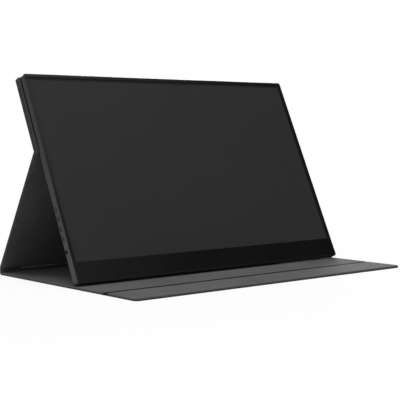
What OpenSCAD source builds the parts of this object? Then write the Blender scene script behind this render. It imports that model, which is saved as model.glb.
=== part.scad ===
// Portable monitor on its folding stand cover.
// +X runs along the width, the screen faces -Y and +Z is up. The origin lies on the table,
// under the middle of the whole object. All lengths are in millimetres, all angles in degrees.
// The stand is a chain of flat panels: front strip, base, spine, leg and back panel, joined by
// folds of bare leather. Magnets hold the monitor on the back panel, and its lower rear edge
// rests on the base.

/* [Monitor] */
// Width of the housing
monitor_w = 356; // [340:1:372]
// Height of the housing along the screen
monitor_h = 221.4; // [212:0.2:232]
// Thickness of the housing, glass to back
monitor_t = 8.8; // [8.6:0.1:10]
// Radius of the housing's corners, seen from the front
corner_r = 3.5; // [2:0.1:6]
// Radius of the rounded edge round the back
back_edge_r = 3; // [2:0.1:3.4]
// Lean of the screen, back from upright
screen_lean = 25.18; // [22:0.1:28]
// Width of the visible picture
picture_w = 344.2; // [330:0.1:346]
// Height of the visible picture
picture_h = 193.8; // [186:0.1:196]
// Height of the glossy strip under the picture
chin_h = 21.4; // [19:0.1:24]

/* [Left side controls] */
// Height of the headphone jack above the housing's lower edge
jack_s = 33.5; // [30:0.5:36]
// Height of the lowest button above the housing's lower edge
button_s = 47; // [44:0.5:50]
// Distance from one button to the next
button_pitch = 10; // [8:0.5:12]
// Length of a button
button_l = 4.4; // [4:0.1:6]
// Width of a button
button_w = 2; // [1.6:0.1:2.4]
// How far a button stands out
button_proud = 0.35; // [0.2:0.05:0.5]

/* [Right side sockets] */
// Height of the lower reversible power and video socket
usb_low_s = 40; // [34:1:44]
// Height of the upper reversible power and video socket
usb_high_s = 57; // [54:1:62]
// Height of the small video socket
hdmi_s = 78; // [74:1:84]

/* [Cover] */
// Width of every cover panel
cover_w = 358; // [342:1:374]
// Thickness of the base, which lies on the table
base_t = 2.65; // [2.4:0.05:3]
// Thickness of the leg and of the back panel
stand_t = 5.8; // [5:0.1:6.4]
// Thickness of the narrow spine
spine_t = 2.6; // [2.2:0.1:3]
// Leather on the outside of each panel
leather_t = 0.7; // [0.5:0.05:0.9]
// Soft lining on the inside of each panel
lining_t = 0.7; // [0.5:0.05:0.8]
// Seam of leather left round each stiff board
seam_w = 3; // [2:0.5:5]
// Radius of the two corners at the front of the base
strip_corner_r = 5; // [1:0.5:8]
// Radius of the two free corners of the back panel
panel_corner_r = 2; // [1:0.5:6]
// Distance from the monitor's front edge to the base's front edge
base_front = 91.7; // [80:0.1:100]
// Distance from the monitor's front edge to the crease across the base
crease_front = 45.7; // [44:0.1:50]
// Distance from the monitor's front edge back to the fold between base and spine
base_rear = 142; // [136:0.5:146]

/* [Folds] */
// Height of the fold between spine and leg
leg_fold_z = 8.4; // [7.4:0.1:9.4]
// How far that fold stands in front of the one below it
spine_forward = 0.29; // [0:0.01:0.6]
// Height of the fold in the cover's back, along the screen
back_fold_s = 142.3; // [138:0.1:146]
// Radius of the rolled leather in the folds of the stand
stand_fold_r = 1.2; // [1:0.05:1.3]
// Radius of the rolled leather in the crease of the base
crease_fold_r = 0.9; // [0.7:0.05:1]
// Clear gap between a fold and the panel that swings on it
fold_gap = 0.3; // [0.2:0.05:0.4]

/* [Hidden] */
$fn = 48;

leather_col = "#3a3a3c";
lining_col = "#6f6f71";
board_col = "#a08c6c";
housing_col = "#5a5a5c";
gloss_col = "#17171a";
screen_col = "#2f2f31";
steel_col = "#b4b6ba";
circuit_col = "#1f5a3a";

// Depths behind the front of the screen, front to back
lip_t = 0.3;                        // bezel over the edge of the glass
glass_t = 0.8;                      // display glass
backlight_t = 1.1;                  // light guide and its reflector
bracket_t = 0.4;                    // steel sheet behind them
glass_y = lip_t;
backlight_y = glass_y + glass_t;
bracket_y = backlight_y + backlight_t;
cavity_y = bracket_y + bracket_t;   // where the space for the electronics starts
wall_t = 1.4;                       // side walls of the housing
floor_t = 1;                        // back wall of the housing
floor_y = monitor_t - floor_t;
rim_chamfer = 0.4;                  // broken edge round the front
socket_y = 4.9;                     // middle of every socket and of the jack
button_y = 4.5;                     // middle of every button

// The monitor's front lower edge stands this high, so that its rounded lower edge, at the
// back, just clears the base
rest_gap = 0.2;
foot_y = monitor_t - back_edge_r;
monitor_z = base_t + rest_gap + back_edge_r
    + foot_y * sin(screen_lean) - back_edge_r * cos(screen_lean);

// Places of the folds in the side view, as [y, z], from the monitor's front lower edge
back_gap = 0.3;                     // between the monitor's back and the back panel
back_panel_y = monitor_t + back_gap;
back_fold_y = back_panel_y + stand_t - stand_fold_r;
back_fold_at = [
    back_fold_s * sin(screen_lean) + back_fold_y * cos(screen_lean),
    monitor_z + back_fold_s * cos(screen_lean) - back_fold_y * sin(screen_lean)
];
base_fold_r = base_t / 2 - 0.025;
base_fold_at = [base_rear, base_t / 2];
leg_fold_at = [base_rear - spine_forward, leg_fold_z];
leg_run = leg_fold_at - back_fold_at;
leg_l = norm(leg_run);
leg_lean = atan2(leg_run[0], -leg_run[1]);
spine_run = leg_fold_at - base_fold_at;
spine_l = norm(spine_run);
spine_lean = atan2(-spine_run[0], spine_run[1]);
back_panel_l = monitor_h + 0.6 - back_fold_s;

// The whole object is centred on its own depth
middle_y = (base_rear + base_fold_r - base_front) / 2;

echo(back_fold_at = back_fold_at, leg_fold_at = leg_fold_at, leg_lean = leg_lean,
    monitor_z = monitor_z, middle_y = middle_y, leg_l = leg_l, spine_lean = spine_lean);

// ---------------------------------------------------------------- places

module on_table() translate([0, -middle_y, 0]) children();

// In the monitor's own frame y runs back from the screen and z up along it
module on_monitor()
    on_table() translate([0, 0, monitor_z]) rotate([-screen_lean, 0, 0]) children();

// A cover panel is drawn lying on its outer face, with the fold it starts from on y = 0.
// Each of these stands it up: its length runs up and its inner face looks forward.
module on_spine()
    on_table() translate([0, base_fold_at[0], base_fold_at[1]]) rotate([spine_lean, 0, 0])
        translate([0, spine_t / 2, 0]) rotate([90, 0, 0]) children();

module on_leg()
    on_table() translate([0, leg_fold_at[0], leg_fold_at[1]]) rotate([leg_lean, 0, 0])
        translate([0, stand_fold_r, 0]) rotate([90, 0, 0]) children();

module on_back_panel()
    on_monitor() translate([0, back_panel_y + stand_t, back_fold_s])
        rotate([90, 0, 0]) children();

module at_monitor(x, y, s) on_monitor() translate([x, y, s]) children();

// ---------------------------------------------------------------- cover panels

// Outline of a panel: square at the folds, rounded at its free end
module panel_outline(length, end_r) {
    translate([-cover_w / 2, 0]) square([cover_w, length - end_r]);
    if (end_r > 0) {
        translate([-cover_w / 2 + end_r, 0]) square([cover_w - 2 * end_r, length]);
        for (side = [-1, 1])
            translate([side * (cover_w / 2 - end_r), length - end_r]) circle(r = end_r);
    }
}

// Leather skin: a shallow tray that holds the board
module panel_skin(start, length, thick, end_r = 0, seam = seam_w) color(leather_col)
    translate([0, start, 0]) difference() {
        linear_extrude(thick - lining_t) panel_outline(length, end_r);
        translate([-cover_w / 2 + seam_w, seam, leather_t])
            cube([cover_w - 2 * seam_w, length - 2 * seam, thick]);
    }

module panel_board(start, length, thick, seam = seam_w) color(board_col)
    translate([-cover_w / 2 + seam_w + 0.1, start + seam + 0.1, leather_t])
        cube([cover_w - 2 * seam_w - 0.2, length - 2 * seam - 0.2,
            thick - leather_t - lining_t]);

module panel_lining(start, length, thick, end_r = 0) color(lining_col)
    translate([0, start, thick - lining_t])
        linear_extrude(lining_t) panel_outline(length, end_r);

// Rolled leather round a fold's axis, with a tongue back to the panel that it belongs to
module rolled_fold(r, tongue) color(leather_col) {
    rotate([0, 90, 0]) cylinder(r = r, h = cover_w, center = true);
    translate([-cover_w / 2, 0, -r / 2]) cube([cover_w, tongue, r]);
}

// Base: from the crease to the fold behind it
base_start = -crease_front + crease_fold_r + fold_gap;
base_l = base_rear - base_fold_r - fold_gap - base_start;
groove_r = 6;                       // pressed groove in which the monitor's edge rests
groove_depth = 0.3;

module base_leather() on_table() panel_skin(base_start, base_l, base_t);
module base_board() on_table() panel_board(base_start, base_l, base_t);

module base_lining() on_table() color(lining_col) difference() {
    panel_lining(base_start, base_l, base_t);
    translate([0, foot_y * cos(screen_lean) + back_edge_r * sin(screen_lean),
            base_t - groove_depth + groove_r])
        rotate([0, 90, 0]) cylinder(r = groove_r, h = cover_w + 2, center = true, $fn = 64);
}

module base_fold() on_table() translate([0, base_fold_at[0], base_fold_at[1]])
    rotate([0, 0, 180]) rolled_fold(base_fold_r, base_fold_r + fold_gap);

// Front strip: in front of the crease. It is drawn backwards, so it is turned end for end.
strip_l = base_front - crease_front - crease_fold_r - fold_gap;

module on_strip() on_table()
    translate([0, -crease_front - crease_fold_r - fold_gap, 0]) mirror([0, 1, 0]) children();

module front_strip_leather() on_strip() panel_skin(0, strip_l, base_t, strip_corner_r);
module front_strip_board() on_strip() panel_board(0, strip_l, base_t);
module front_strip_lining() on_strip() panel_lining(0, strip_l, base_t, strip_corner_r);
module crease_fold() on_table() translate([0, -crease_front, base_t / 2])
    rolled_fold(crease_fold_r, crease_fold_r + fold_gap);

// Spine: the narrow strip that stands at the back of the base
spine_seam = 0.8;
spine_start = base_fold_r + fold_gap;
spine_panel_l = spine_l - spine_start - stand_fold_r - fold_gap;

module spine_leather() on_spine()
    panel_skin(spine_start, spine_panel_l, spine_t, 0, spine_seam);
module spine_board() on_spine()
    panel_board(spine_start, spine_panel_l, spine_t, spine_seam);
module spine_lining() on_spine() panel_lining(spine_start, spine_panel_l, spine_t);
module leg_fold() on_spine() translate([0, spine_l, spine_t / 2])
    rotate([180, 0, 0]) rolled_fold(stand_fold_r, stand_fold_r + fold_gap);

// Leg: from the spine up to the fold in the back
leg_start = stand_fold_r + fold_gap;
leg_panel_l = leg_l - 2 * leg_start;

module leg_leather() on_leg() panel_skin(leg_start, leg_panel_l, stand_t);
module leg_board() on_leg() panel_board(leg_start, leg_panel_l, stand_t);
module leg_lining() on_leg() panel_lining(leg_start, leg_panel_l, stand_t);
module back_fold() on_leg() translate([0, leg_l, stand_fold_r])
    rotate([180, 0, 0]) rolled_fold(stand_fold_r, leg_start);

// Back panel: behind the upper part of the monitor, which its magnets hold
back_start = stand_fold_r + fold_gap;
magnet_size = [30, 10, 1.5];
magnet_xs = [-120, 0, 120];
magnet_rows = [16, 62];             // along the back panel, from its fold

module magnet_places() for (x = magnet_xs, row = magnet_rows) translate([x, row, 0]) children();

module cover_magnet(grow = 0)
    translate([0, 0, stand_t - lining_t - magnet_size[2] / 2])
        cube(magnet_size + [2 * grow, 2 * grow, 0], center = true);

module back_panel_leather() on_back_panel()
    panel_skin(back_start, back_panel_l - back_start, stand_t, panel_corner_r);
module back_panel_board() on_back_panel() color(board_col) difference() {
    panel_board(back_start, back_panel_l - back_start, stand_t);
    magnet_places() translate([0, 0, 0.01]) cover_magnet(0.1);
    magnet_places() cover_magnet(0.1);
}
module back_panel_lining() on_back_panel()
    panel_lining(back_start, back_panel_l - back_start, stand_t, panel_corner_r);
module cover_magnets() color(steel_col) on_back_panel() magnet_places() cover_magnet();

// ---------------------------------------------------------------- monitor housing

// Section of a slab that lies on y = 0: broken front edges and rounded back edges
module slab_section(length, depth, back_r, front_c) {
    polygon([
        [-length / 2 + front_c, 0], [length / 2 - front_c, 0], [length / 2, front_c],
        [length / 2, depth - back_r], [length / 2 - back_r, depth],
        [-length / 2 + back_r, depth], [-length / 2, depth - back_r], [-length / 2, front_c]
    ]);
    for (side = [-1, 1])
        translate([side * (length / 2 - back_r), depth - back_r]) circle(r = back_r);
}

module rounded_face(width, height, r) {
    square([width - 2 * r, height], center = true);
    square([width, height - 2 * r], center = true);
    for (sx = [-1, 1], sy = [-1, 1])
        translate([sx * (width / 2 - r), sy * (height / 2 - r)]) circle(r = r);
}

// A thin case, centred on x and z: its back edges are rounded on all four sides and meet in
// mitres, and its corners are rounded as seen from the front
module rounded_case(width, height, depth, face_r, back_r, front_c) intersection() {
    translate([0, depth, 0]) rotate([90, 0, 0])
        linear_extrude(depth) rounded_face(width, height, face_r);
    translate([0, 0, -height / 2])
        linear_extrude(height) slab_section(width, depth, back_r, front_c);
    translate([-width / 2, 0, 0]) rotate([90, 0, 90])
        linear_extrude(width) mirror([1, -1, 0]) slab_section(height, depth, back_r, front_c);
}

// Opening or bar with round ends, that runs along x; long is measured up the side
module side_stadium(long, wide, depth) rotate([90, 0, 90]) linear_extrude(depth) {
    square([wide, long - wide], center = true);
    for (end = [-1, 1]) translate([0, end * (long - wide) / 2]) circle(d = wide);
}

button_ss = [for (i = [0 : 3]) button_s + i * button_pitch];
button_clear = 0.45;
jack_collar_r = 2.25;
usb_mouth = [8.94, 3.26];
hdmi_mouth = [11.2, 3.4];
socket_clear = 0.25;
chin_screw_xs = [-150, -75, 0, 75, 150];
chin_screw_s = 9;
screw_r = 0.8;
boss_r = 2.4;
post_xs = [-97.5, -32.5, 32.5];      // under the bracket's webs
post_ss = [87, 145];
rib_t = 0.8;
rib_h = 1.2;

module hdmi_outline(grow = 0) {
    half = hdmi_mouth / 2 + [grow, grow];
    cut = 1.1;
    polygon([
        [-half[1], -half[0]], [half[1] - cut, -half[0]], [half[1], -half[0] + cut],
        [half[1], half[0] - cut], [half[1] - cut, half[0]], [-half[1], half[0]]
    ]);
}

// Back and side walls in one piece, with posts, bosses and a rib lattice inside
module rear_housing() color(housing_col) on_monitor() {
    inner_w = monitor_w - 2 * wall_t;
    inner_h = monitor_h - 2 * wall_t;
    difference() {
        translate([0, 0, monitor_h / 2])
            rounded_case(monitor_w, monitor_h, monitor_t, corner_r, back_edge_r, rim_chamfer);
        translate([0, -1, monitor_h / 2])
            rounded_case(inner_w, inner_h, floor_y + 1, corner_r - wall_t, 1.4, 0);
        for (s = button_ss) translate([-monitor_w / 2 - 1, button_y, s])
            side_stadium(button_l + 2 * button_clear, button_w + 2 * button_clear, wall_t + 2);
        translate([-monitor_w / 2 - 1, socket_y, jack_s]) rotate([0, 90, 0])
            cylinder(r = jack_collar_r + 0.05, h = wall_t + 2);
        for (s = [usb_low_s, usb_high_s]) translate([monitor_w / 2 - wall_t - 1, socket_y, s])
            side_stadium(usb_mouth[0] + 2 * socket_clear, usb_mouth[1] + 2 * socket_clear,
                wall_t + 2);
        translate([monitor_w / 2 - wall_t - 1, socket_y, hdmi_s]) rotate([90, 0, 90])
            linear_extrude(wall_t + 2) hdmi_outline(socket_clear);
    }
    // bosses for the screws along the chin
    for (x = chin_screw_xs) translate([x, floor_y + 0.2, chin_screw_s]) rotate([90, 0, 0])
        difference() {
            cylinder(r = boss_r, h = floor_y + 0.2 - cavity_y);
            translate([0, 0, 1.6]) cylinder(r = screw_r, h = monitor_t);
        }
    // posts that carry the bracket
    for (x = post_xs, s = post_ss) translate([x, floor_y + 0.2, s]) rotate([90, 0, 0])
        cylinder(r = 2, h = floor_y + 0.2 - cavity_y);
    // rib lattice on the back wall
    for (x = [-140 : 40 : 60]) translate([x - rib_t / 2, floor_y - rib_h, 18])
        cube([rib_t, rib_h + 0.2, monitor_h - 36]);
    for (s = [30, 100, 146, 192]) translate([-150, floor_y - rib_h, s - rib_t / 2])
        cube([215, rib_h + 0.2, rib_t]);
    // rests under the main board and under the button board
    for (x = board_rest_xs, s = board_rest_ss) translate([x, floor_y + 0.2, s])
        rotate([90, 0, 0]) cylinder(r = 1.8, h = floor_y + 0.2 - board_back_y);
    for (s = [button_ss[0] - 3, button_ss[3] + 3])
        translate([-174, button_board_y + button_board_t, s - 1])
            cube([8, floor_y + 0.2 - button_board_y - button_board_t, 2]);
    // pad under the headphone jack
    translate([-174, socket_y + jack_body[1] / 2, jack_s - 2])
        cube([9, floor_y + 0.2 - socket_y - jack_body[1] / 2, 4]);
}

// Glossy frame round the picture, with the chin; a skirt behind it seats in the housing
module front_bezel() color(gloss_col) on_monitor() {
    fit = 0.05;
    outer_w = monitor_w - 2 * wall_t - 2 * fit;
    outer_h = monitor_h - 2 * wall_t - 2 * fit;
    face_r = corner_r - wall_t - fit;
    picture_s = chin_h + picture_h / 2;
    skirt_t = 1.5;
    chin_t = 1.4;
    difference() {
        union() {
            translate([0, lip_t, monitor_h / 2]) rotate([90, 0, 0])
                linear_extrude(lip_t) rounded_face(outer_w, outer_h, face_r);
            translate([0, cavity_y, monitor_h / 2]) rotate([90, 0, 0])
                linear_extrude(cavity_y - lip_t) difference() {
                    rounded_face(outer_w, outer_h, face_r);
                    square([outer_w - 2 * skirt_t, outer_h - 2 * skirt_t], center = true);
                }
            // thicker chin, with stiffening ribs behind it
            translate([-outer_w / 2 + skirt_t, 0, wall_t + fit + skirt_t])
                cube([outer_w - 2 * skirt_t, chin_t, 10.8]);
        }
        translate([-picture_w / 2, -1, picture_s - picture_h / 2])
            cube([picture_w, lip_t + 1.01, picture_h]);
    }
}

// Glass with its matt film
panel_side = 2.4;                   // glass hidden under the bezel at each side
panel_low = 4;                      // and under the chin
panel_bottom_s = chin_h - panel_low;
panel_h = picture_h + panel_low + 2.2;
module display_panel() color(screen_col)
    at_monitor(-picture_w / 2 - panel_side, glass_y, panel_bottom_s)
        cube([picture_w + 2 * panel_side, glass_t, panel_h]);

// Light guide and reflector, with the strip of lamps along its lower edge
module backlight_unit() color("#e6e6e0") on_monitor() {
    translate([-picture_w / 2 - 2, backlight_y, panel_bottom_s])
        cube([picture_w + 4, backlight_t, panel_h - 0.4]);
    translate([-picture_w / 2 + 6, backlight_y + 0.3, panel_bottom_s - 1.6])
        cube([picture_w - 12, backlight_t - 0.3, 1.8]);
}

// Pressed steel sheet behind the light guide: windows save weight, and a foot with holes
// reaches down behind the chin
module panel_bracket() color(steel_col) on_monitor() difference() {
    union() {
        translate([-picture_w / 2 - 2, bracket_y, panel_bottom_s])
            cube([picture_w + 4, bracket_t, panel_h - 0.4]);
        for (x = chin_screw_xs) translate([x - 14, bracket_y, chin_screw_s - 4])
            cube([28, bracket_t, panel_bottom_s - chin_screw_s + 5]);
    }
    for (x = [-130 : 65 : 130], s = [44, 102, 160])
        translate([x, bracket_y + 1, s + 14]) rotate([90, 0, 0])
            linear_extrude(2) rounded_face(38, 26, 5);
    for (x = chin_screw_xs) translate([x, bracket_y - 1, chin_screw_s]) rotate([-90, 0, 0])
        cylinder(r = screw_r + 0.2, h = 3);
}

// Small pan-head screws through the bracket's foot into the bosses
module bracket_screws() color(steel_col)
    for (x = chin_screw_xs) at_monitor(x, bracket_y, chin_screw_s) {
        rotate([90, 0, 0]) cylinder(r = 1.7, h = 0.6);
        rotate([-90, 0, 0]) cylinder(r = screw_r - 0.05, h = 3.6);
    }

module bar_magnet() cube([magnet_size[0], magnet_size[2], magnet_size[1]], center = true);

module monitor_magnets() color(steel_col) for (x = magnet_xs, row = magnet_rows)
    at_monitor(x + 4, floor_y - magnet_size[2] / 2, back_fold_s + row) bar_magnet();

// ---------------------------------------------------------------- electronics

board_y = 5;                        // front of the main board
board_t = 0.8;
board_back_y = board_y + board_t;
board_x = [92, 174];
board_s = [24, 100];
board_rest_xs = [97, 150];
board_rest_ss = [29, 95];
socket_depth = 7.6;
socket_x = monitor_w / 2 - 0.3 - socket_depth;
wing = [3, 0.3, 13];                // solder wing of a socket, flat on the board

// Main board: notched where the sockets sit in its edge, with its larger chips
module main_board() color(circuit_col) on_monitor() {
    difference() {
        translate([board_x[0], board_y, board_s[0]])
            cube([board_x[1] - board_x[0], board_t, board_s[1] - board_s[0]]);
        for (s = [usb_low_s, usb_high_s])
            translate([socket_x - 0.2, board_y - 1, s - usb_mouth[0] / 2 - 0.1])
                cube([20, 4, usb_mouth[0] + 0.2]);
        translate([socket_x - 0.2, board_y - 1, hdmi_s - hdmi_mouth[0] / 2 - 0.1])
            cube([20, 4, hdmi_mouth[0] + 0.2]);
    }
    for (spot = [[150, 88, 9], [156, 34, 6], [103, 88, 7]])
        translate([spot[0], board_y - 1, spot[1]]) cube([spot[2], 1.1, spot[2]]);
}

// Tinned lid over the picture processor
module shield_can() color(steel_col) at_monitor(112, board_y - 1.8, 44) difference() {
    cube([34, 1.8, 26]);
    translate([0.3, 0.3, 0.3]) cube([33.4, 2, 25.4]);
}

// Long narrow board that feeds the display glass
driver_y = cavity_y;
module panel_driver_board() color(circuit_col) on_monitor() {
    translate([-96, driver_y, 20]) cube([160, 0.6, 8]);
    for (x = [-80 : 40 : 40]) translate([x - 6, driver_y + 0.5, 22]) cube([12, 0.8, 4]);
}

// Flat ribbon from the driver board down on to the main board
module flex_cable() color("#c9a24a") at_monitor(0, 0, 21.5) linear_extrude(5)
    polygon([
        [56, driver_y + 0.6], [66, driver_y + 0.6], [88, board_y - 0.3], [98, board_y - 0.3],
        [98, board_y], [87.8, board_y], [65.8, driver_y + 0.9], [56, driver_y + 0.9]
    ]);

// Board with the side switches behind the buttons
button_board_y = 6;
button_board_t = 0.8;
switch_x = -monitor_w / 2 + wall_t + 1.35;
module button_board() color(circuit_col) on_monitor() {
    translate([switch_x, button_board_y, button_ss[0] - 6])
        cube([9, button_board_t, button_ss[3] - button_ss[0] + 12]);
    for (s = button_ss) {
        translate([switch_x, button_y - 1.2, s - 2.2]) cube([3.6, 2.75, 4.4]);
        translate([switch_x - 0.3, button_y - 0.6, s - 1]) cube([0.5, 1.2, 2]);
    }
}

// Headphone socket: a block with its bore, and a collar that fills the hole in the wall
jack_bore_r = 1.8;
jack_bore_l = 12.8;
jack_body = [12.6, 4.3, 6.2];
module audio_jack() color("#26262a") at_monitor(-monitor_w / 2 + 0.2, socket_y, jack_s)
    difference() {
        union() {
            rotate([0, 90, 0]) cylinder(r = jack_collar_r, h = 3);
            translate([wall_t, -jack_body[1] / 2, -jack_body[2] / 2]) cube(jack_body);
        }
        translate([-1, 0, 0]) rotate([0, 90, 0])
            cylinder(r = jack_bore_r, h = jack_bore_l + 1);
    }

// Reversible socket: a drawn steel shell, closed behind, with a tongue in its middle
module usb_c_socket(s) color(steel_col) at_monitor(socket_x, socket_y, s) {
    shell = 0.3;
    difference() {
        side_stadium(usb_mouth[0], usb_mouth[1], socket_depth);
        translate([1.2, 0, 0])
            side_stadium(usb_mouth[0] - 2 * shell, usb_mouth[1] - 2 * shell, socket_depth);
    }
    translate([1, -0.35, -3.3]) cube([5.4, 0.7, 6.6]);
    for (side = [-1, 1])
        translate([1, board_y - socket_y - wing[1], side * 5.45 - 1.1])
            cube([wing[0], wing[1], 2.2]);
}

module usb_c_socket_low() usb_c_socket(usb_low_s);
module usb_c_socket_high() usb_c_socket(usb_high_s);

// Small video socket: the same build with a bevelled shell
module mini_hdmi_socket() color(steel_col) at_monitor(socket_x, socket_y, hdmi_s) {
    difference() {
        rotate([90, 0, 90]) linear_extrude(socket_depth) hdmi_outline();
        translate([1.2, 0, 0]) rotate([90, 0, 90])
            linear_extrude(socket_depth) hdmi_outline(-0.35);
    }
    translate([1, -0.4, -3.9]) cube([5.2, 0.8, 7.8]);
    for (side = [-1, 1])
        translate([1, board_y - socket_y - wing[1], side * 6.5 - 1.1])
            cube([wing[0], wing[1], 2.2]);
}

// ---------------------------------------------------------------- buttons

// Oval cap in its slot, with a flange inside the wall that keeps it in
module side_button(place) color(gloss_col)
    at_monitor(-monitor_w / 2 - button_proud, button_y, button_ss[place]) {
        flange_x = button_proud + wall_t + 0.05;
        side_stadium(button_l, button_w, flange_x + 0.2);
        translate([flange_x, 0, 0]) side_stadium(button_l + 2 * button_clear + 0.8,
            button_w + 2 * button_clear + 0.4, 0.45);
    }

module menu_button() side_button(0);
module minus_button() side_button(1);
module plus_button() side_button(2);
module power_button() side_button(3);

base_leather();
base_board();
base_lining();
base_fold();
front_strip_leather();
front_strip_board();
front_strip_lining();
crease_fold();
spine_leather();
spine_board();
spine_lining();
leg_fold();
leg_leather();
leg_board();
leg_lining();
back_fold();
back_panel_leather();
back_panel_board();
back_panel_lining();
cover_magnets();
rear_housing();
front_bezel();
display_panel();
backlight_unit();
panel_bracket();
bracket_screws();
main_board();
shield_can();
panel_driver_board();
flex_cable();
button_board();
audio_jack();
usb_c_socket_low();
usb_c_socket_high();
mini_hdmi_socket();
monitor_magnets();
menu_button();
minus_button();
plus_button();
power_button();
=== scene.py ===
import math

import bpy
from mathutils import Matrix, Vector


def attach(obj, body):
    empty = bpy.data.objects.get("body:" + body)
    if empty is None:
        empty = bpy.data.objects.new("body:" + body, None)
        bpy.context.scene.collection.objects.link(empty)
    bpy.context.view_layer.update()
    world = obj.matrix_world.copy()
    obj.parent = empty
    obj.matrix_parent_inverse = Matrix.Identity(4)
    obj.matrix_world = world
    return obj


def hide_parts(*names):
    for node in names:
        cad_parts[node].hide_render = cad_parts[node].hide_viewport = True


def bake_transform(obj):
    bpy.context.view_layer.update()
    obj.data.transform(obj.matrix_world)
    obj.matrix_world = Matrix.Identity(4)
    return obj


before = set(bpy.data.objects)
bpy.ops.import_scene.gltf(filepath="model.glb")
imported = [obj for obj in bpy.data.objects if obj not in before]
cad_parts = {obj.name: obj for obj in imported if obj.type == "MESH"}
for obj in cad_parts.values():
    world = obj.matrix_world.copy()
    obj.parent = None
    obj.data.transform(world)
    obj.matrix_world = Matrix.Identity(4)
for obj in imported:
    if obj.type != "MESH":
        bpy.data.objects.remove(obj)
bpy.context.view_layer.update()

# ------------------------------------------------------------------ camera
# A long lens a little over a metre away, at the height of the screen's middle, turned 40
# degrees to the left side of the monitor and tipped down by 3.7 degrees.
CAMERA_PLACE = (-0.74075, -0.86639, 0.14849)
CAMERA_HEADING = -40.308
CAMERA_PITCH = 90 - 3.651
CAMERA_ROLL = -0.1165
camera_data = bpy.data.cameras.new("camera")
camera_data.lens = 97.238
camera_data.sensor_width = 36
camera_data.clip_start = 0.01
camera = bpy.data.objects.new("camera", camera_data)
bpy.context.scene.collection.objects.link(camera)
heading = Matrix.Rotation(math.radians(CAMERA_HEADING), 4, "Z")
pitch = Matrix.Rotation(math.radians(CAMERA_PITCH), 4, "X")
roll = Matrix.Rotation(math.radians(CAMERA_ROLL), 4, "Z")
camera.matrix_world = Matrix.Translation(CAMERA_PLACE) @ heading @ pitch @ roll
bpy.context.scene.camera = camera
bpy.context.scene.view_settings.view_transform = "Standard"

# ------------------------------------------------------------------ studio
# A plain white table top that fades into a white surround, a broad lamp overhead towards the
# left, and smaller ones at the left, in front, and behind at the right. What the gloss
# mirrors grows greyer to the right, where the wall of the room lies out of the lamps' reach.
WHITE = (1, 1, 1, 1)
OBJECT_MIDDLE = Vector((0, 0, 0.08))


def add_node(tree, kind, **settings):
    """A node with the named sockets set."""
    node = tree.nodes.new("ShaderNode" + kind)
    for label, value in settings.items():
        node.inputs[label.replace("_", " ")].default_value = value
    return node


def reckon(tree, operation, first, second=None):
    """One step of arithmetic on sockets or plain numbers."""
    step = add_node(tree, "Math")
    step.operation = operation
    for socket, value in zip(step.inputs, (first, second)):
        if isinstance(value, (int, float)):
            socket.default_value = value
        elif value is not None:
            tree.links.new(value, socket)
    return step.outputs[0]


def ramp_over(tree, value, start, end, low=0.0, high=1.0):
    """A smooth change from low to high while the value runs from start to end."""
    step = add_node(tree, "MapRange", From_Min=start, From_Max=end, To_Min=low, To_Max=high)
    step.interpolation_type = "SMOOTHSTEP"
    tree.links.new(value, step.inputs["Value"])
    return step.outputs["Result"]


def mix_shaders(tree, share, under, over):
    """Shows one shader over another by a share."""
    mix = add_node(tree, "MixShader")
    tree.links.new(share, mix.inputs["Fac"])
    tree.links.new(under.outputs[0], mix.inputs[1])
    tree.links.new(over.outputs[0], mix.inputs[2])
    return mix


def sort_rays(tree):
    """Whether a ray comes straight from the camera, and whether gloss or glass sent it on."""
    ray = add_node(tree, "LightPath")
    mirrored = reckon(tree, "MAXIMUM", ray.outputs["Is Glossy Ray"],
                      ray.outputs["Is Transmission Ray"])
    return ray.outputs["Is Camera Ray"], mirrored


def start_finish(name, roughness, specular):
    """A new material, with its node tree and its shader."""
    finish = bpy.data.materials.new(name)
    finish.use_nodes = True
    shader = finish.node_tree.nodes["Principled BSDF"]
    shader.inputs["Roughness"].default_value = roughness
    shader.inputs["Specular IOR Level"].default_value = specular
    return finish, finish.node_tree, shader


def hang_lamp(name, place, size, watts):
    """A square soft lamp that points at the middle of the object."""
    data = bpy.data.lights.new(name, "AREA")
    data.shape = "SQUARE"
    data.size = size
    data.energy = watts
    lamp = bpy.data.objects.new(name, data)
    lamp.location = place
    aim = OBJECT_MIDDLE - Vector(place)
    lamp.rotation_euler = aim.to_track_quat("-Z", "Y").to_euler()
    bpy.context.scene.collection.objects.link(lamp)


world = bpy.data.worlds.new("studio")
bpy.context.scene.world = world
world.use_nodes = True
sky = world.node_tree
sky.nodes.clear()
sky_seen = add_node(sky, "Background", Color=WHITE, Strength=1)
sky_light = add_node(sky, "Background", Color=WHITE, Strength=0.3)
sky_wall = add_node(sky, "Background", Color=WHITE)
sky_place = add_node(sky, "TexCoord")
sky_side = add_node(sky, "SeparateXYZ")
sky.links.new(sky_place.outputs["Generated"], sky_side.inputs["Vector"])
wall_strength = ramp_over(sky, sky_side.outputs["X"], 0.45, 0.74, low=1.0, high=0.2)
sky.links.new(wall_strength, sky_wall.inputs["Strength"])
sky_direct, sky_mirrored = sort_rays(sky)
sky_room = mix_shaders(sky, sky_mirrored, sky_light, sky_wall)
sky_whole = mix_shaders(sky, sky_direct, sky_room, sky_seen)
sky_out = add_node(sky, "OutputWorld")
sky.links.new(sky_whole.outputs[0], sky_out.inputs["Surface"])

hang_lamp("lamp_overhead", (-0.26, 0.05, 1.3), size=0.7, watts=12.2)
hang_lamp("lamp_left", (-1.25, -0.45, 0.85), size=0.6, watts=2.5)
hang_lamp("lamp_front", (0.4, -1.3, 1.15), size=0.6, watts=3)
hang_lamp("lamp_behind", (0.88, 0.95, 0.8), size=0.4, watts=12)

bpy.ops.object.select_all(action="DESELECT")
bpy.ops.mesh.primitive_plane_add(size=6, location=(0, 0, 0))
table_top = bpy.context.object
table_top.name = "table_top"

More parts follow.
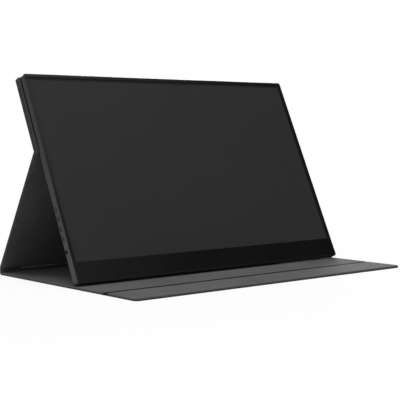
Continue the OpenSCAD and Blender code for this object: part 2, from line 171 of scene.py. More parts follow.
# The table glows white towards its far edge, and sends less light back up than it shows.
table_white, table_tree, table_shader = start_finish("table_white", roughness=0.9, specular=0.0)
table_shader.inputs["Base Color"].default_value = (0.8, 0.8, 0.8, 1)
table_bounce = add_node(table_tree, "BsdfDiffuse", Color=(0.44, 0.44, 0.44, 1))
table_glow = add_node(table_tree, "Emission", Strength=1)
table_place = add_node(table_tree, "TexCoord")
table_far = add_node(table_tree, "VectorMath")
table_far.operation = "LENGTH"
table_tree.links.new(table_place.outputs["Object"], table_far.inputs[0])
table_fade = ramp_over(table_tree, table_far.outputs["Value"], 0.22, 0.7, low=0.86)
table_seen = mix_shaders(table_tree, table_fade, table_shader, table_glow)
table_direct, table_mirrored = sort_rays(table_tree)
table_shown = reckon(table_tree, "MAXIMUM", table_direct, table_mirrored)
table_whole = mix_shaders(table_tree, table_shown, table_bounce, table_seen)
table_tree.links.new(table_whole.outputs[0], table_tree.nodes["Material Output"].inputs["Surface"])
table_top.data.materials.append(table_white)

# ------------------------------------------------------------------ base of the cover
# The broad panel that lies on the table: a stiff board in grained leather, whose edges are
# turned over it and glued, with a soft lining laid inside them. A shallow groove is pressed
# into the lining, where the monitor's lower edge stands.
COVER_HALF = 0.179
BASE_THICK = 0.00265
BASE_FRONT = -0.0703
BASE_REAR = 0.1146
CREASE_Y = -0.0715
LINING_PROUD = 0.00015
LINING_DEPTH = 0.0009
LEATHER_BORDER = 0.0004
CREASE_BORDER = 0.0017
PEBBLES_A_METRE = 720.0
NAP_A_METRE = 1100.0


def two_tones(tree, source, dark, light, low=0.0, high=1.0):
    """A change from one colour to another, driven by a texture."""
    ramp = add_node(tree, "ValToRGB")
    ramp.color_ramp.elements[0].position = low
    ramp.color_ramp.elements[0].color = (*dark, 1)
    ramp.color_ramp.elements[1].position = high
    ramp.color_ramp.elements[1].color = (*light, 1)
    tree.links.new(source, ramp.inputs["Fac"])
    return ramp.outputs["Color"]


def tint(tree, share, under, over):
    """Lays one colour over another by a share."""
    mix = add_node(tree, "MixRGB")
    tree.links.new(share, mix.inputs["Fac"])
    for socket, colour in ((mix.inputs["Color1"], under), (mix.inputs["Color2"], over)):
        if isinstance(colour, tuple):
            socket.default_value = (*colour, 1)
        else:
            tree.links.new(colour, socket)
    return mix.outputs["Color"]


def vary(tree, colour, drift):
    """Lightens and darkens a colour by another that drifts about white."""
    mix = add_node(tree, "MixRGB", Fac=1.0)
    mix.blend_type = "MULTIPLY"
    tree.links.new(colour, mix.inputs["Color1"])
    tree.links.new(drift, mix.inputs["Color2"])
    return mix.outputs["Color"]


def lay_texture(tree, kind, **settings):
    """A texture on the piece's own coordinates."""
    place = add_node(tree, "TexCoord")
    texture = add_node(tree, kind, **settings)
    tree.links.new(place.outputs["Object"], texture.inputs["Vector"])
    return texture


def emboss(tree, shader, height, strength, relief, hollow=False):
    """Raises the surface, or hollows it, by a texture's height."""
    bump = add_node(tree, "Bump", Strength=strength, Distance=relief)
    bump.invert = hollow
    tree.links.new(height, bump.inputs["Height"])
    tree.links.new(bump.outputs["Normal"], shader.inputs["Normal"])


def leather_finish(name, hollow, crown, pebble, relief, dull, shiny):
    """Embossed leather: small pebbles with dark hollows between them and worn, smoother crowns."""
    finish, tree, shader = start_finish(name, roughness=0.6, specular=0.2)
    place = add_node(tree, "TexCoord")
    bend = lay_texture(tree, "TexNoise", Scale=260.0, Detail=2.0)
    push = add_node(tree, "MixRGB", Fac=0.0016)
    push.blend_type = "ADD"
    tree.links.new(place.outputs["Object"], push.inputs["Color1"])
    tree.links.new(bend.outputs["Color"], push.inputs["Color2"])
    pebbles = add_node(tree, "TexVoronoi", Scale=pebble)
    pebbles.feature = "SMOOTH_F1"
    pebbles.inputs["Smoothness"].default_value = 0.35
    tree.links.new(push.outputs["Color"], pebbles.inputs["Vector"])
    grain = two_tones(tree, pebbles.outputs["Distance"], crown, hollow, low=0.12, high=0.62)
    wear = lay_texture(tree, "TexNoise", Scale=14.0, Detail=3.0)
    tone = two_tones(tree, wear.outputs["Fac"], (0.86, 0.86, 0.86), (1.12, 1.12, 1.12),
                     low=0.3, high=0.7)
    tree.links.new(vary(tree, grain, tone), shader.inputs["Base Color"])
    gloss = add_node(tree, "MapRange", From_Min=0.1, From_Max=0.6, To_Min=shiny, To_Max=dull)
    tree.links.new(pebbles.outputs["Distance"], gloss.inputs["Value"])
    tree.links.new(gloss.outputs["Result"], shader.inputs["Roughness"])
    emboss(tree, shader, pebbles.outputs["Distance"], strength=0.6, relief=relief, hollow=True)
    return finish


outer_leather = leather_finish(
    "cover_leather", hollow=(0.013, 0.013, 0.0135), crown=(0.049, 0.049, 0.051),
    pebble=PEBBLES_A_METRE, relief=0.00014, dull=0.75, shiny=0.5)
inner_lining = leather_finish(
    "cover_lining", hollow=(0.078, 0.078, 0.079), crown=(0.118, 0.118, 0.119),
    pebble=NAP_A_METRE, relief=0.00006, dull=0.9, shiny=0.72)
# The base's lining is painted a little darker than the front strip's: painted shade where the
# monitor shades the base.
shaded_base_lining = leather_finish(
    "shaded_base_lining", hollow=(0.068, 0.068, 0.069), crown=(0.104, 0.104, 0.105),
    pebble=NAP_A_METRE, relief=0.00006, dull=0.9, shiny=0.72)

# The base's leather is painted paler along its upper edges, a painted highlight for the light
# that its rounded rim catches, and painted darker beside the crease, painted shade for the
# crease's valley.
painted_light_leather = outer_leather.copy()
painted_light_leather.name = "painted_light_leather"
painted_light_tree = painted_light_leather.node_tree
painted_light_shader = painted_light_tree.nodes["Principled BSDF"]
plain_leather = painted_light_shader.inputs["Base Color"].links[0].from_socket
painted_light_place = add_node(painted_light_tree, "TexCoord")
painted_light_split = add_node(painted_light_tree, "SeparateXYZ")
painted_light_tree.links.new(painted_light_place.outputs["Object"], painted_light_split.inputs["Vector"])
# Painted highlight along the leather's upper edges.
highlight_height = ramp_over(painted_light_tree, painted_light_split.outputs["Z"], 0.0004, 0.0018, high=0.8)
behind_crease = reckon(painted_light_tree, "SUBTRACT", painted_light_split.outputs["Y"], CREASE_Y)
from_crease = reckon(painted_light_tree, "ABSOLUTE", behind_crease)
clear_of_crease = ramp_over(painted_light_tree, from_crease, 0.004, 0.006)
painted_highlight_share = reckon(painted_light_tree, "MULTIPLY", highlight_height, clear_of_crease)
painted_highlight_tone = tint(painted_light_tree, painted_highlight_share, plain_leather, (0.092, 0.092, 0.093))
# Painted shade beside the crease.
painted_crease_shade_share = ramp_over(painted_light_tree, from_crease, 0.0035, 0.0045, low=0.7, high=0.0)
painted_crease_shade_tone = tint(painted_light_tree, painted_crease_shade_share, painted_highlight_tone, (0.006, 0.006, 0.006))
painted_light_tree.links.new(painted_crease_shade_tone, painted_light_shader.inputs["Base Color"])


def add_slab(name, half_width, front, rear, low, high):
    """A block at its size and place, lying on the cover's outer face."""
    bpy.ops.object.select_all(action="DESELECT")
    bpy.ops.mesh.primitive_cube_add(
        size=1, location=(0, (front + rear) / 2, (low + high) / 2),
        scale=(2 * half_width, rear - front, high - low))
    slab = bpy.context.object
    slab.name = name
    slab.data.name = name
    bpy.ops.object.transform_apply(location=True, rotation=True, scale=True)
    return slab


def pick_edges(piece, wanted):
    """In edit mode, selects the edges whose two ends pass the test."""
    bpy.ops.object.mode_set(mode="OBJECT")
    bpy.context.tool_settings.mesh_select_mode = (False, True, False)
    mesh = piece.data
    mesh.polygons.foreach_set("select", [False] * len(mesh.polygons))
    mesh.vertices.foreach_set("select", [False] * len(mesh.vertices))
    for edge in mesh.edges:
        ends = [mesh.vertices[i].co for i in edge.vertices]
        edge.select = wanted(*ends)
    bpy.ops.object.mode_set(mode="EDIT")


def near(value, target, slack=0.00002):
    """Whether two lengths are the same within a fiftieth of a millimetre."""
    return abs(value - target) < slack


def lies_at(a, b, height):
    """Whether an edge lies level at a height."""
    return near(a.z, height) and near(b.z, height)


def runs_across(a, b):
    """Whether an edge runs across the cover, as its folds do."""
    return near(a.y, b.y) and not near(a.x, b.x)


def at_end(a, b, end):
    """Whether an edge lies on a panel's free end, if it has one."""
    return end is not None and near(a.y, end) and near(b.y, end)


def round_edges(piece, radius, steps, wanted):
    """Rounds the edges that pass the test."""
    pick_edges(piece, wanted)
    bpy.ops.mesh.bevel(offset=radius, segments=steps, affect="EDGES")
    bpy.ops.object.mode_set(mode="OBJECT")


def cut_through(places, direction):
    """Cuts the piece in edit mode across a direction at each place, so that it can bend there."""
    bpy.ops.object.mode_set(mode="EDIT")
    for place in places:
        bpy.ops.mesh.select_all(action="SELECT")
        bpy.ops.mesh.bisect(plane_co=[place * share for share in direction], plane_no=direction)


def press_down(piece, height, middle, dents, share=1.0):
    """Presses the cuts beside a line across the cover down, each by its share of its depth."""
    for offset, depth in dents:
        pick_edges(piece, lambda a, b: near(a.y, middle + offset) and near(b.y, a.y)
                   and lies_at(a, b, height))
        bpy.ops.transform.translate(value=(0, 0, -share * depth))


def finish_piece(piece, finish, angle=35):
    """Turns the faces outwards, shades the rounded edges smooth and puts the finish on."""
    bpy.ops.object.mode_set(mode="EDIT")
    bpy.ops.mesh.select_all(action="SELECT")
    bpy.ops.mesh.remove_doubles(threshold=0.000002)
    bpy.ops.mesh.normals_make_consistent(inside=False)
    bpy.ops.object.mode_set(mode="OBJECT")
    bpy.ops.object.shade_smooth_by_angle(angle=math.radians(angle))
    piece.data.materials.append(finish)


def wrap_board(name, front, rear, thick, free_end=None, corner=0.005, edge=0.0007,
               leather=outer_leather):
    """The leather round a board: free corners rounded, long edges turned over softly."""
    top = thick - LINING_PROUD
    wrap = add_slab(name, COVER_HALF, front, rear, 0, top)
    if free_end is not None:
        round_edges(wrap, corner, 10, lambda a, b: at_end(a, b, free_end) and near(a.x, b.x))

    def on_rim(a, b, height):
        return lies_at(a, b, height) and (at_end(a, b, free_end) or not runs_across(a, b))

    round_edges(wrap, edge, 4, lambda a, b: on_rim(a, b, 0))
    round_edges(wrap, edge * 0.8, 4, lambda a, b: on_rim(a, b, top))
    finish_piece(wrap, leather)
    return wrap


def lay_lining(name, front, rear, thick, free_end=None, corner=0.0046, crease=None):
    """The lining inside the leather's turned edges: it dives round the board at a fold, and
    stops short of the crease."""
    borders = {free_end: LEATHER_BORDER, crease: CREASE_BORDER}
    sheet_front = front + borders.get(front, 0)
    sheet_rear = rear - borders.get(rear, 0)
    end = {front: sheet_front, rear: sheet_rear}.get(free_end)
    sheet = add_slab(name, COVER_HALF - LEATHER_BORDER, sheet_front, sheet_rear,
                     thick - LINING_DEPTH, thick)
    if free_end is not None:
        round_edges(sheet, corner, 10, lambda a, b: at_end(a, b, end) and near(a.x, b.x))

    def at_fold(a, b):
        return lies_at(a, b, thick) and runs_across(a, b) and not at_end(a, b, end)

    round_edges(sheet, 0.0004, 3, lambda a, b: lies_at(a, b, thick) and not at_fold(a, b))
    round_edges(sheet, 0.0007, 5, at_fold)
    return sheet


base_cover = wrap_board("base_cover", BASE_FRONT, BASE_REAR, BASE_THICK, leather=painted_light_leather)
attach(base_cover, "base")
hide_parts("base_leather")

GROOVE_Y = -0.01928
GROOVE_CUTS = (-0.0022, -0.0016, -0.0008, 0, 0.0008, 0.0016, 0.0022)
GROOVE_DENTS = ((-0.0016, 0.00008), (-0.0008, 0.00024), (0, 0.0003), (0.0008, 0.00024),
                (0.0016, 0.00008))
base_inside = lay_lining("base_inside", BASE_FRONT, BASE_REAR, BASE_THICK, crease=BASE_FRONT)
cut_through([GROOVE_Y + offset for offset in GROOVE_CUTS], (0, 1, 0))
press_down(base_inside, BASE_THICK, GROOVE_Y, GROOVE_DENTS)
finish_piece(base_inside, shaded_base_lining)
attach(base_inside, "base")
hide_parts("base_lining")

# ------------------------------------------------------------------ front strip of the cover
# The narrow panel in front of the crease, made like the base, with both front corners cut
# round. It closes over the screen's edge when the cover is shut.
STRIP_FRONT = -0.1175
STRIP_REAR = -0.0727
strip_cover = wrap_board("front_strip_cover", STRIP_FRONT, STRIP_REAR, BASE_THICK, STRIP_FRONT,
                         leather=painted_light_leather)
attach(strip_cover, "front_strip")
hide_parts("front_strip_leather")

strip_inside = lay_lining("front_strip_inside", STRIP_FRONT, STRIP_REAR, BASE_THICK, STRIP_FRONT,
                          crease=STRIP_REAR)
finish_piece(strip_inside, inner_lining)
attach(strip_inside, "front_strip")
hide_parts("front_strip_lining")

# ------------------------------------------------------------------ crease across the base
# Bare leather and lining pressed together between the two boards. They are creased from both
# sides, so the strip is thinnest in its middle and folds there.
CREASE_HALF = 0.0019
CREASE_LOW = 0.0001
CREASE_HIGH = 0.0016
CREASE_CUTS = (-0.0012, -0.0009, -0.0006, -0.0003, 0, 0.0003, 0.0006, 0.0009, 0.0012)
CREASE_DENTS = ((-0.0006, 0.00012), (-0.0003, 0.00035), (0, 0.00048), (0.0003, 0.00035),
                (0.0006, 0.00012))
FOLD_HALF = COVER_HALF - 0.0001
crease = add_slab("crease", FOLD_HALF, CREASE_Y - CREASE_HALF, CREASE_Y + CREASE_HALF,
                  CREASE_LOW, CREASE_HIGH)
round_edges(crease, 0.0004, 3, lambda a, b: near(a.x, b.x) and near(a.z, b.z))
cut_through([CREASE_Y + offset for offset in CREASE_CUTS], (0, 1, 0))
press_down(crease, CREASE_HIGH, CREASE_Y, CREASE_DENTS)
press_down(crease, CREASE_LOW, CREASE_Y, CREASE_DENTS, share=-0.4)
# The crease's leather is painted far darker than the cover's: painted shade for the crease's
# valley.
crease_shade_leather = leather_finish(
    "crease_shade_leather", hollow=(0.005, 0.005, 0.005), crown=(0.016, 0.016, 0.0165),
    pebble=PEBBLES_A_METRE, relief=0.00005, dull=0.8, shiny=0.65)
crease_shade_leather.node_tree.nodes["Principled BSDF"].inputs["Specular IOR Level"].default_value = 0.05
finish_piece(crease, crease_shade_leather)
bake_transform(crease)
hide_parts("crease_fold")

# ------------------------------------------------------------------ spine
# The narrow strip of board in leather that stands up behind the base, lined on the side that
# looks forward. Shut, it is the back of the cover and spans the monitor's thickness.
SPINE_LEAN = 2.347
SPINE_THICK = 0.0026
SPINE_START = 0.0016
SPINE_END = 0.0055809
SPINE_OUTER = 0.0013
base_fold = Vector((0, 0.1162, 0.001325))


def stand_up(piece, fold, lean, outer):
    """Stands a lying panel on its fold: its length runs up, its lining looks forward, and its
    outer face lies a little behind the fold's line."""
    turn = math.radians(lean)
    piece.location = (0, fold.y + outer * math.cos(turn), fold.z + outer * math.sin(turn))
    piece.rotation_euler = (math.radians(90) + turn, 0, 0)
    bpy.ops.object.select_all(action="DESELECT")
    piece.select_set(True)
    bpy.context.view_layer.objects.active = piece
    bpy.ops.object.transform_apply(location=True, rotation=True, scale=True)


spine_cover = wrap_board("spine_cover", SPINE_START, SPINE_END, SPINE_THICK)
stand_up(spine_cover, base_fold, SPINE_LEAN, SPINE_OUTER)
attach(spine_cover, "spine")
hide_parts("spine_leather")

spine_inside = lay_lining("spine_inside", SPINE_START, SPINE_END, SPINE_THICK)
finish_piece(spine_inside, inner_lining)
stand_up(spine_inside, base_fold, SPINE_LEAN, SPINE_OUTER)
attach(spine_inside, "spine")
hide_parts("spine_lining")

# ------------------------------------------------------------------ seam along the spine
# One row of white thread that ties leather, board and lining together just under the fold
# to the leg. Each stitch is a short bow of thread, sunk at both ends.
STITCH_PITCH = 0.0034
STITCH_COUNT = 91
STITCH_LENGTH = 0.0029
STITCH_CUTS = (-0.001, -0.0005, 0.0005, 0.001)
THREAD_RADIUS = 0.0006
SEAM_PLACE = 0.00472
SEAM_LIFT = 0.00246
bpy.ops.object.select_all(action="DESELECT")
bpy.ops.mesh.primitive_cylinder_add(
    vertices=8, radius=THREAD_RADIUS, depth=STITCH_LENGTH, location=(0, SEAM_PLACE, SEAM_LIFT),
    rotation=(0, math.radians(90), 0))
seam = bpy.context.object
seam.name = "spine_seam"
seam.data.name = "spine_seam"
bpy.ops.object.transform_apply(location=True, rotation=True, scale=True)
cut_through(STITCH_CUTS, (1, 0, 0))
for ring, drop, width in ((STITCH_LENGTH / 2, 0.0005, 0.75), (0.001, 0.00012, 1)):
    for side in (-1, 1):
        pick_edges(seam, lambda a, b: near(a.x, side * ring) and near(b.x, side * ring))
        bpy.ops.transform.translate(value=(0, 0, -drop))
        bpy.ops.transform.resize(value=(1, width, 1),
                                 center_override=(side * ring, SEAM_PLACE, SEAM_LIFT))
bpy.ops.object.mode_set(mode="OBJECT")
seam_row = seam.modifiers.new("row", "ARRAY")
seam_row.count = STITCH_COUNT
seam_row.use_relative_offset = False
seam_row.use_constant_offset = True
seam_row.constant_offset_displace = (STITCH_PITCH, 0, 0)
bpy.ops.object.modifier_apply(modifier="row")
seam.location.x = -STITCH_PITCH * (STITCH_COUNT - 1) / 2
bpy.ops.object.transform_apply(location=True, rotation=True, scale=True)

# The thread's near-white colour also stands in for the light that the fold catches here: painted
# highlight.
white_thread, thread_tree, thread_shader = start_finish("thread", roughness=0.7, specular=0.3)
twist = lay_texture(thread_tree, "TexWave", Scale=900.0, Distortion=1.5)
twist.bands_direction = "DIAGONAL"
thread_tone = two_tones(thread_tree, twist.outputs["Fac"], (0.72, 0.72, 0.7), (0.88, 0.88, 0.86))
thread_tree.links.new(thread_tone, thread_shader.inputs["Base Color"])
finish_piece(seam, white_thread, angle=60)
stand_up(seam, base_fold, SPINE_LEAN, SPINE_OUTER)
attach(seam, "spine")

# ------------------------------------------------------------------ fold between base and spine
# Leather and lining with no board between them, bent up through a right angle behind the
# base. It is swept round the middle of the bend and reaches a little into both panels.
BASE_GAP = 0.0016


def pick_faces(piece, wanted):
    """In edit mode, selects the faces whose normal passes the test."""
    bpy.ops.object.mode_set(mode="OBJECT")
    bpy.context.tool_settings.mesh_select_mode = (False, False, True)
    mesh = piece.data
    mesh.edges.foreach_set("select", [False] * len(mesh.edges))
    mesh.vertices.foreach_set("select", [False] * len(mesh.vertices))
    for face in mesh.polygons:
        face.select = wanted(face.normal)
    bpy.ops.object.mode_set(mode="EDIT")


def bend_strip(name, end, low, high, fold_height, gap, turn, tongue=0.0007, soft=0.0004):
    """A bare strip that leaves a panel at its end and bends about a line across it, with its
    lining on the side it bends to, or on the other where it bends backwards."""
    pivot = fold_height + gap / math.tan(math.radians(turn / 2))
    strip = add_slab(name, FOLD_HALF, end - tongue, end, low, high)
    round_edges(strip, soft, 3, lambda a, b: near(a.x, b.x) and near(a.z, b.z))
    pick_faces(strip, lambda normal: normal.y > 0.9)
    bpy.ops.mesh.spin(steps=10, angle=math.radians(-turn), center=(0, end, pivot), axis=(1, 0, 0))
    ahead = Vector((0, math.cos(math.radians(turn)), math.sin(math.radians(turn))))
    bpy.ops.mesh.extrude_region_move(TRANSFORM_OT_translate={"value": ahead * tongue})
    bpy.ops.object.mode_set(mode="OBJECT")
    finish_piece(strip, outer_leather)
    strip.data.materials.append(inner_lining)
    for face in strip.data.polygons:
        inward = Vector((0, end, pivot)) - face.center
        inward.x = 0
        if math.copysign(1, turn) * face.normal.dot(inward.normalized()) > 0.7:
            face.material_index = 1
    return strip


base_bend = bend_strip("base_bend", BASE_REAR, low=0.0001, high=0.0015,
                       fold_height=BASE_THICK / 2, gap=BASE_GAP, turn=90 + SPINE_LEAN)
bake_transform(base_bend)
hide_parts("base_fold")

# ------------------------------------------------------------------ fold between spine and leg
# The same bare strip above the spine. It only leans forward here, by the difference between
# the spine and the leg.
LEG_LEAN = 29.7845
LEG_GAP = 0.0015
leg_fold = Vector((0, 0.11591, 0.0084))
leg_bend = bend_strip("leg_bend", SPINE_END, low=0.0001, high=0.0016,
                      fold_height=SPINE_OUTER, gap=LEG_GAP, turn=LEG_LEAN - SPINE_LEAN)
stand_up(leg_bend, base_fold, SPINE_LEAN, SPINE_OUTER)
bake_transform(leg_bend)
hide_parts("leg_fold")

# ------------------------------------------------------------------ leg
# The tall panel that props the monitor up from behind. It is twice as thick as the base and
# made in the same way.
LEG_THICK = 0.0058
LEG_END = 0.13694
LEG_OUTER = 0.0012
LEG_EDGE = 0.0009
leg_cover = wrap_board("leg_cover", LEG_GAP, LEG_END, LEG_THICK, edge=LEG_EDGE)
stand_up(leg_cover, leg_fold, LEG_LEAN, LEG_OUTER)
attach(leg_cover, "leg")
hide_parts("leg_leather")

leg_inside = lay_lining("leg_inside", LEG_GAP, LEG_END, LEG_THICK)
finish_piece(leg_inside, inner_lining)
stand_up(leg_inside, leg_fold, LEG_LEAN, LEG_OUTER)
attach(leg_inside, "leg")
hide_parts("leg_lining")

# ------------------------------------------------------------------ fold in the cover's back
# Leather and lining stuffed with soft foam, so that the back keeps its thickness while it
# bends. It is swept round the line where the two panels' ends would meet behind the cover.
BACK_LEAN = -25.18
BACK_GAP = 0.0015
back_fold = Vector((0, 0.0471416, 0.128552))
back_bend = bend_strip("back_bend", LEG_END, low=0.00005, high=0.00575,
                       fold_height=LEG_OUTER, gap=BACK_GAP, turn=BACK_LEAN - LEG_LEAN,
                       tongue=0.0008, soft=0.0012)
stand_up(back_bend, leg_fold, LEG_LEAN, LEG_OUTER)
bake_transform(back_bend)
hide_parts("back_fold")

# ------------------------------------------------------------------ back panel
# The cover's last panel, which the monitor's magnets pull flat against the housing. It is
# made like the leg, and its upper corners are cut round.
BACK_END = 0.0797
back_cover = wrap_board("back_panel_cover", BACK_GAP, BACK_END, LEG_THICK, BACK_END,
                        corner=0.002, edge=LEG_EDGE)
stand_up(back_cover, back_fold, BACK_LEAN, LEG_OUTER)
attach(back_cover, "back_panel")
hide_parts("back_panel_leather")

back_inside = lay_lining("back_panel_inside", BACK_GAP, BACK_END, LEG_THICK, BACK_END,
                         corner=0.0016)
finish_piece(back_inside, inner_lining)
stand_up(back_inside, back_fold, BACK_LEAN, LEG_OUTER)
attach(back_inside, "back_panel")
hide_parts("back_panel_lining")

# ------------------------------------------------------------------ boards inside the cover
# Grey pressed fibreboard, cut to size for each of the five panels. The leather's edges are
# turned over it and glued, and the lining covers the rest, so none of it shows.


def dress(node_name, finish):
    """Gives a CAD node its finish."""
    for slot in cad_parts[node_name].material_slots:
        slot.material = finish


def fine_finish(name, dark, light, scale, roughness, specular, relief, metallic=0.0):
    """A smooth made surface: faint mottling in its colour and a fine, shallow tooth."""
    finish, tree, shader = start_finish(name, roughness, specular)
    shader.inputs["Metallic"].default_value = metallic
    mottle = lay_texture(tree, "TexNoise", Scale=scale * 0.02, Detail=4.0)
    tone = two_tones(tree, mottle.outputs["Fac"], dark, light, low=0.3, high=0.7)
    tree.links.new(tone, shader.inputs["Base Color"])
    tooth = lay_texture(tree, "TexNoise", Scale=scale, Detail=2.0)
    emboss(tree, shader, tooth.outputs["Fac"], strength=0.5, relief=relief)
    return finish


fibreboard = fine_finish("stiff_board", (0.22, 0.19, 0.15), (0.31, 0.27, 0.22), scale=1800.0,
                         roughness=0.95, specular=0.2, relief=0.00005)
for board in ("base_board", "front_strip_board", "spine_board", "leg_board", "back_panel_board"):
    dress(board, fibreboard)

# ------------------------------------------------------------------ magnets
# Nickel-plated bars that hold the monitor on the cover: six in the back panel under its
# lining, and six more behind the housing's back wall.
nickel = fine_finish("magnet", (0.55, 0.55, 0.56), (0.68, 0.68, 0.69), scale=900.0,
                     roughness=0.25, specular=0.5, relief=0.00001, metallic=1.0)
dress("cover_magnets", nickel)
dress("monitor_magnets", nickel)

# ------------------------------------------------------------------ rear housing
# Back wall and side walls in one piece of sheet metal, sprayed with satin grey paint of a fine
# tooth. The paint is painted darker towards the top: painted shade. The front edge is nearly
# black, but for a bare line up the left side, narrower towards the foot; along the top it is
# painted grey, paler to the left: painted highlight. The rounded back edge, higher up where the
# cover's back panel lies on it, is painted nearly black and made rougher: painted shade for the
# groove between them.
SCREEN_FOOT = Vector((0, -0.0258, 0.00560276))
HOUSING_HEIGHT = 0.2214
HOUSING_HALF = 0.178
FAR_LEFT = -0.18
RIM_DEPTH = 0.00046
RIM_WIDTH = 0.0016
BARE_AT_FOOT = 0.0006


def on_screen(tree):
    """The place across the screen, behind its front face, and up its height."""
    place = add_node(tree, "TexCoord")
    lay = add_node(tree, "Mapping")
    lay.vector_type = "TEXTURE"
    lay.inputs["Location"].default_value = SCREEN_FOOT
    lay.inputs["Rotation"].default_value = (math.radians(BACK_LEAN), 0, 0)
    split = add_node(tree, "SeparateXYZ")
    tree.links.new(place.outputs["Object"], lay.inputs["Vector"])
    tree.links.new(lay.outputs["Vector"], split.inputs["Vector"])
    return split.outputs["X"], split.outputs["Y"], split.outputs["Z"]


satin_grey = fine_finish("housing_metal", (0.065, 0.065, 0.0654), (0.073, 0.073, 0.0735),
                         scale=5200.0, roughness=0.42, specular=0.15, relief=0.00001)
metal_tree = satin_grey.node_tree
metal_shader = metal_tree.nodes["Principled BSDF"]
paint = metal_shader.inputs["Base Color"].links[0].from_socket
across, behind, up = on_screen(metal_tree)

# Painted shade: the paint darkens towards the top.
upper_shade = ramp_over(metal_tree, up, -0.02, 0.16, high=0.68)
shaded_paint = tint(metal_tree, upper_shade, paint, (0.008, 0.008, 0.0082))
# Painted shade on the rounded back edge in the groove beside the cover, which is made rougher too.
back_edge = ramp_over(metal_tree, behind, 0.0038, 0.0052)
groove_shade_height = ramp_over(metal_tree, up, 0.122, 0.15)
groove_shade = reckon(metal_tree, "MULTIPLY", back_edge, groove_shade_height)
groove_shaded_paint = tint(metal_tree, groove_shade, shaded_paint, (0.003, 0.003, 0.0031))
dulled = reckon(metal_tree, "MAXIMUM", groove_shade, 0.42)
metal_tree.links.new(dulled, metal_shader.inputs["Roughness"])

cut_edge = reckon(metal_tree, "LESS_THAN", behind, RIM_DEPTH)
bare_limit = ramp_over(metal_tree, up, 0.085, 0.13, low=BARE_AT_FOOT - HOUSING_HALF,
                       high=RIM_WIDTH - HOUSING_HALF)
bare_side = reckon(metal_tree, "LESS_THAN", across, bare_limit)
not_bare = reckon(metal_tree, "SUBTRACT", 1.0, bare_side)
blackened = reckon(metal_tree, "MULTIPLY", cut_edge, not_bare)
top_side = reckon(metal_tree, "GREATER_THAN", up, HOUSING_HEIGHT - RIM_WIDTH)
# Painted highlight along the top of the front edge, paler to the left.
rightward = ramp_over(metal_tree, across, FAR_LEFT, 0.1)
top_rim_painted_light = tint(metal_tree, rightward, (0.024, 0.024, 0.0243), (0.008, 0.008, 0.0082))
rim_black = tint(metal_tree, top_side, (0.0014, 0.0014, 0.0015), top_rim_painted_light)
housing_tone = tint(metal_tree, blackened, groove_shaded_paint, rim_black)
metal_tree.links.new(housing_tone, metal_shader.inputs["Base Color"])
dress("rear_housing", satin_grey)

# ------------------------------------------------------------------ front bezel
# Frame of black plastic round the picture, deep along the bottom and polished there, clipped
# into the housing. Its narrow sides are satin, and painted greyer towards the upper left corner:
# painted sheen. The polished bottom is painted paler towards the left: painted reflection. The
# gloss carries faint smears.
PICTURE_HALF_WIDTH = 0.1721
PICTURE_MIDDLE = 0.1183
PICTURE_HALF_HEIGHT = 0.0969
CHIN = 0.0214
STEP_START = 0.0006
STEP_END = 0.00285
PAINTED_SHEEN_GREY = (0.021, 0.021, 0.0213)

bezel_black, bezel_tree, bezel_shader = start_finish("bezel_black", roughness=0.2, specular=0.1)
across, _, up = on_screen(bezel_tree)

smears = lay_texture(bezel_tree, "TexNoise", Scale=24.0, Detail=5.0, Roughness=0.65)
polish = two_tones(bezel_tree, smears.outputs["Fac"], (0.0014, 0.0014, 0.0015),
                   (0.0024, 0.0024, 0.0025), low=0.3, high=0.75)
# Painted reflection: the polished bottom grows paler towards the left.
painted_reflection_share = ramp_over(bezel_tree, across, FAR_LEFT, 0.0, low=1.0, high=0.0)
polish_with_painted_reflection = tint(bezel_tree, painted_reflection_share, polish, (0.0045, 0.0045, 0.0046))

# Painted sheen: the narrow sides grow greyer towards the upper left.
leftward = ramp_over(bezel_tree, across, FAR_LEFT, 0.15, low=1.0, high=0.0)
upward = ramp_over(bezel_tree, up, 0.02, 0.2)
painted_sheen_share = reckon(bezel_tree, "MULTIPLY", leftward, upward)
satin = tint(bezel_tree, painted_sheen_share, (0.0016, 0.0016, 0.0017), PAINTED_SHEEN_GREY)

# A pale line of painted sheen follows the picture, and a painted shadow lies under the step along
# the upper side.
from_middle = reckon(bezel_tree, "ABSOLUTE", across)
past_side = reckon(bezel_tree, "SUBTRACT", from_middle, PICTURE_HALF_WIDTH)
past_top = reckon(bezel_tree, "SUBTRACT", up, PICTURE_MIDDLE + PICTURE_HALF_HEIGHT)
past_picture = reckon(bezel_tree, "MAXIMUM", past_top, past_side)
beside_picture = ramp_over(bezel_tree, past_picture, 0.0012, 0.0024, low=1.0, high=0.0)
over_picture = reckon(bezel_tree, "GREATER_THAN", past_top, 0.0)
pale_reach = reckon(bezel_tree, "MAXIMUM", leftward, over_picture)
pale_line = reckon(bezel_tree, "MULTIPLY", beside_picture, pale_reach)
lined_satin = tint(bezel_tree, pale_line, satin, PAINTED_SHEEN_GREY)
past_step = reckon(bezel_tree, "GREATER_THAN", past_top, STEP_START)
short_of_rim = reckon(bezel_tree, "LESS_THAN", past_top, STEP_END)
painted_step_shadow = reckon(bezel_tree, "MULTIPLY", past_step, short_of_rim)
narrow_sides = tint(bezel_tree, painted_step_shadow, lined_satin, (0.0012, 0.0012, 0.0013))

above_chin = reckon(bezel_tree, "GREATER_THAN", up, CHIN)
bezel_tone = tint(bezel_tree, above_chin, polish_with_painted_reflection, narrow_sides)
bezel_tree.links.new(bezel_tone, bezel_shader.inputs["Base Color"])
smeared = ramp_over(bezel_tree, smears.outputs["Fac"], 0.3, 0.75, low=0.2, high=0.3)
matt_sides = reckon(bezel_tree, "MULTIPLY", above_chin, 0.45)
bezel_roughness = reckon(bezel_tree, "MAXIMUM", smeared, matt_sides)
bezel_tree.links.new(bezel_roughness, bezel_shader.inputs["Roughness"])
dress("front_bezel", bezel_black)

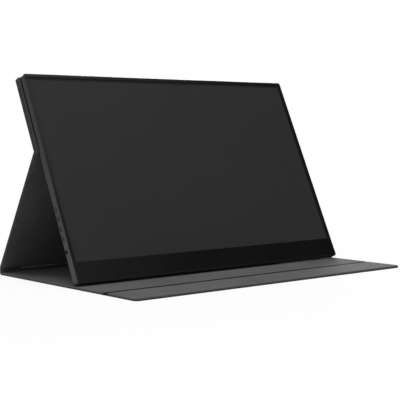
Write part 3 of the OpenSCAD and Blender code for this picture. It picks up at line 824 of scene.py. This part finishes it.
# ------------------------------------------------------------------ display
# Glass with a matt film that scatters reflections. Switched off, the picture area is a flat
# very dark grey, painted darker in the last few millimetres before the frame: painted shade
# that the frame casts.
screen_film, film_tree, film_shader = start_finish("screen_film", roughness=0.5, specular=0.13)
across, _, up = on_screen(film_tree)
from_middle = reckon(film_tree, "ABSOLUTE", across)
from_side = reckon(film_tree, "SUBTRACT", PICTURE_HALF_WIDTH, from_middle)
above_middle = reckon(film_tree, "SUBTRACT", up, PICTURE_MIDDLE)
from_half_way = reckon(film_tree, "ABSOLUTE", above_middle)
from_end = reckon(film_tree, "SUBTRACT", PICTURE_HALF_HEIGHT, from_half_way)
from_edge = reckon(film_tree, "MINIMUM", from_side, from_end)
edge_share = ramp_over(film_tree, from_edge, -0.001, 0.003)
film_grey = tint(film_tree, edge_share, (0.0195, 0.0195, 0.0198), (0.0218, 0.0218, 0.0222))
film_mottle = lay_texture(film_tree, "TexNoise", Scale=9.0, Detail=2.0)
film_drift = two_tones(film_tree, film_mottle.outputs["Fac"], (0.94, 0.94, 0.94),
                       (1.06, 1.06, 1.06), low=0.3, high=0.7)
film_tree.links.new(vary(film_tree, film_grey, film_drift), film_shader.inputs["Base Color"])
film_tooth = lay_texture(film_tree, "TexNoise", Scale=9000.0, Detail=1.0)
emboss(film_tree, film_shader, film_tooth.outputs["Fac"], strength=0.3, relief=0.000004)
dress("display_panel", screen_film)

# ------------------------------------------------------------------ side buttons
# Four oval caps of dark moulded plastic in slots up the left side. A flange behind the wall
# keeps each one in, and it presses its own switch.
button_plastic = fine_finish("button_black", (0.0075, 0.0075, 0.0078), (0.0105, 0.0105, 0.0108),
                             scale=3600.0, roughness=0.4, specular=0.2, relief=0.00001)
for button in ("menu_button", "minus_button", "plus_button", "power_button"):
    dress(button, button_plastic)

# ------------------------------------------------------------------ headphone jack
# A block moulded in black plastic, with a round hole for the plug. Its collar fills the
# clearance hole in the housing's left wall and ends flush with it.
jack_black = fine_finish("socket_black", (0.008, 0.008, 0.008), (0.014, 0.014, 0.014),
                         scale=3000.0, roughness=0.5, specular=0.4, relief=0.00001)
dress("audio_jack", jack_black)

# ------------------------------------------------------------------ sockets on the right side
# Drawn steel shells, nickel plated, closed behind, with a tongue for the contacts inside.
# They sit in notches in the main board's edge and open through the housing's right wall.
socket_steel = fine_finish("socket_shell", (0.42, 0.42, 0.43), (0.52, 0.52, 0.53), scale=2400.0,
                           roughness=0.3, specular=0.5, relief=0.00001, metallic=1.0)
for socket in ("usb_c_socket_low", "usb_c_socket_high", "mini_hdmi_socket"):
    dress(socket, socket_steel)

# ------------------------------------------------------------------ light guide and steel sheet
# Behind the glass: a milky light guide over its reflector, and a pressed zinc-plated sheet
# that stiffens it, held by small screws along its foot. The lid over the picture processor is
# pressed from the same sheet.
milky = fine_finish("light_guide", (0.74, 0.74, 0.72), (0.82, 0.82, 0.8), scale=700.0,
                    roughness=0.5, specular=0.4, relief=0.00001)
dress("backlight_unit", milky)
zinc = fine_finish("sheet_steel", (0.4, 0.41, 0.43), (0.56, 0.57, 0.6), scale=1300.0,
                   roughness=0.38, specular=0.5, relief=0.00001, metallic=1.0)
dress("panel_bracket", zinc)
dress("shield_can", zinc)
screw_nickel = fine_finish("screw_steel", (0.5, 0.5, 0.52), (0.62, 0.62, 0.64), scale=2600.0,
                           roughness=0.3, specular=0.5, relief=0.00001, metallic=1.0)
dress("bracket_screws", screw_nickel)

# ------------------------------------------------------------------ circuit boards
# Glass-fibre boards under green solder mask: the main board, one that feeds the display glass
# and one with the side switches. A flat amber ribbon joins the first two.
solder_mask = fine_finish("circuit_board", (0.008, 0.05, 0.028), (0.014, 0.075, 0.042),
                          scale=2200.0, roughness=0.35, specular=0.5, relief=0.00002)
for board in ("main_board", "panel_driver_board", "button_board"):
    dress(board, solder_mask)
amber = fine_finish("ribbon", (0.42, 0.24, 0.05), (0.52, 0.31, 0.08), scale=1500.0,
                    roughness=0.35, specular=0.5, relief=0.00001)
dress("flex_cable", amber)
